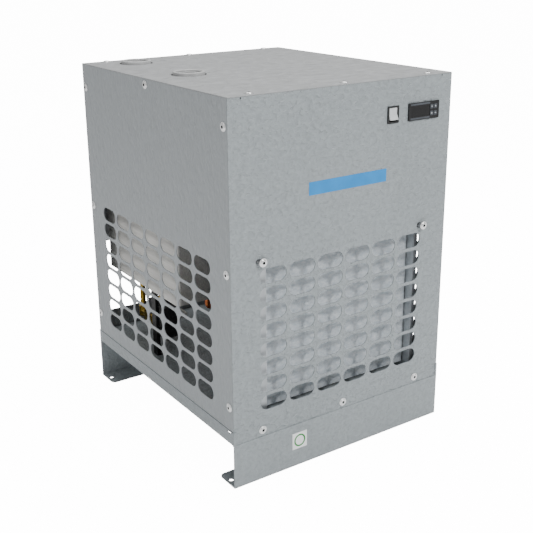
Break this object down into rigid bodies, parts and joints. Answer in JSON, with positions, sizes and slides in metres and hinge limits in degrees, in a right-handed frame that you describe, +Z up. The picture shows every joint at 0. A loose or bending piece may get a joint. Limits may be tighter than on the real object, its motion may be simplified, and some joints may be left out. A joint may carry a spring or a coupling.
{
  "type": "refrigerated air dryer",
  "caption": "Floor-standing refrigerated air dryer: folded grey cabinet with slotted grilles, air sockets on top, condenser, fan, compressor, heat exchanger and timed drain.",
  "frame": {"origin": "centre of the bounding box at the level the feet stand on", "axes": "+Z up, +Y from the front panel to the rear, +X to the right seen from the front"},
  "size_m": [0.4932, 0.578, 0.706],
  "materials": {
    "painted_sheet": "fine hammered grey powder coat",
    "screw_zinc": "bright zinc plate",
    "aluminium_fins": "bare fin stock",
    "galvanised": "galvanised sheet",
    "copper": "drawn copper tube",
    "brass_fittings": "turned brass",
    "black_enamel": "black stove enamel",
    "rubber_mounts": "moulded rubber",
    "exchanger_jacket": "brushed aluminium",
    "socket_steel": "painted steel socket",
    "black_plastic": "moulded black plastic",
    "gloss_black": "gloss black plastic",
    "display_glass": "smoked window",
    "key_grey": "grey keys",
    "rocker_grey": "light grey rocker",
    "fan_plastic": "moulded fan",
    "motor_steel": "dark painted motor",
    "white_hose": "natural nylon tube",
    "label_film": "plain printed film",
    "cable_sheath": "pvc sheath",
    "terminal_grey": "terminal blocks"
  },
  "bodies": {
    "dryer": {"base_pan": "painted_sheet", "front_panel": "painted_sheet", "rear_panel": "painted_sheet", "left_panel": "painted_sheet", "right_panel": "painted_sheet", "top_cover": "painted_sheet", "cabinet_screws": "screw_zinc", "condenser_screws": "screw_zinc", "condenser_fins": "aluminium_fins", "condenser_plates": "galvanised", "condenser_tube": "copper", "fan_shroud": "galvanised", "fan_motor": "motor_steel", "fan_motor_bracket": "black_enamel", "heat_exchanger": "exchanger_jacket", "air_sockets": "socket_steel", "exchanger_stand": "black_enamel", "compressor_shell": "black_enamel", "compressor_terminal_cover": "black_plastic", "compressor_base": "black_enamel", "compressor_grommets": "rubber_mounts", "compressor_bolts": "screw_zinc", "discharge_lines": "copper", "discharge_cross": "copper", "fan_pressure_switch": "black_plastic", "hot_gas_valve": "brass_fittings", "hot_gas_lines": "copper", "suction_line": "copper", "liquid_line": "copper", "filter_drier": "copper", "capillary_tube": "copper", "service_valve": "brass_fittings", "drain_pipe": "brass_fittings", "drain_elbow": "brass_fittings", "drain_ball_valve": "brass_fittings", "drain_valve_body": "brass_fittings", "drain_coil": "black_plastic", "drain_timer": "black_plastic", "drain_bulkhead": "brass_fittings", "drain_hose": "white_hose", "controller_housing": "gloss_black", "display_window": "display_glass", "switch_frame": "black_plastic", "electrical_box": "galvanised", "electrical_box_lid": "galvanised", "terminal_strip": "terminal_grey", "run_capacitor": "exchanger_jacket", "cable_gland": "black_plastic", "internal_leads": "cable_sheath", "blank_labels": "label_film"},
    "fan": {"fan_blade": "fan_plastic"},
    "rocker": {"switch_rocker": "rocker_grey"},
    "key_up_left": {"key_1": "key_grey"},
    "key_up_right": {"key_2": "key_grey"},
    "key_down_left": {"key_3": "key_grey"},
    "key_down_right": {"key_4": "key_grey"},
    "valve_lever": {"drain_lever": "black_plastic"},
    "test_button": {"drain_test_button": "rocker_grey"},
    "interval_dial": {"interval_knob": "key_grey"},
    "open_time_dial": {"open_time_knob": "key_grey"}
  },
  "joints": [
    {"name": "fan_spin", "type": "hinge", "parent": "dryer", "child": "fan", "pos_m": [0.0055, -0.187, 0.269], "axis": [0, 1, 0], "continuous": true},
    {"name": "rocker_tilt", "type": "hinge", "parent": "dryer", "child": "rocker", "pos_m": [0.102, -0.276, 0.636], "axis": [1, 0, 0], "range_deg": [0, 24]},
    {"name": "key_up_left_press", "type": "slide", "parent": "dryer", "child": "key_up_left", "axis": [0, 1, 0], "range_m": [0, 0.0008], "stiffness_N_per_m": 300},
    {"name": "key_up_right_press", "type": "slide", "parent": "dryer", "child": "key_up_right", "axis": [0, 1, 0], "range_m": [0, 0.0008], "stiffness_N_per_m": 300},
    {"name": "key_down_left_press", "type": "slide", "parent": "dryer", "child": "key_down_left", "axis": [0, 1, 0], "range_m": [0, 0.0008], "stiffness_N_per_m": 300},
    {"name": "key_down_right_press", "type": "slide", "parent": "dryer", "child": "key_down_right", "axis": [0, 1, 0], "range_m": [0, 0.0008], "stiffness_N_per_m": 300},
    {"name": "lever_turn", "type": "hinge", "parent": "dryer", "child": "valve_lever", "pos_m": [-0.162, 0.181, 0.178], "axis": [0, 0, 1], "range_deg": [0, 90]},
    {"name": "test_button_press", "type": "slide", "parent": "dryer", "child": "test_button", "axis": [1, 0, 0], "range_m": [0, 0.0015], "stiffness_N_per_m": 300},
    {"name": "interval_turn", "type": "hinge", "parent": "dryer", "child": "interval_dial", "pos_m": [-0.185, 0.094, 0.184], "axis": [1, 0, 0], "range_deg": [0, 270]},
    {"name": "open_time_turn", "type": "hinge", "parent": "dryer", "child": "open_time_dial", "pos_m": [-0.185, 0.094, 0.162], "axis": [1, 0, 0], "range_deg": [0, 270]}
  ]
}
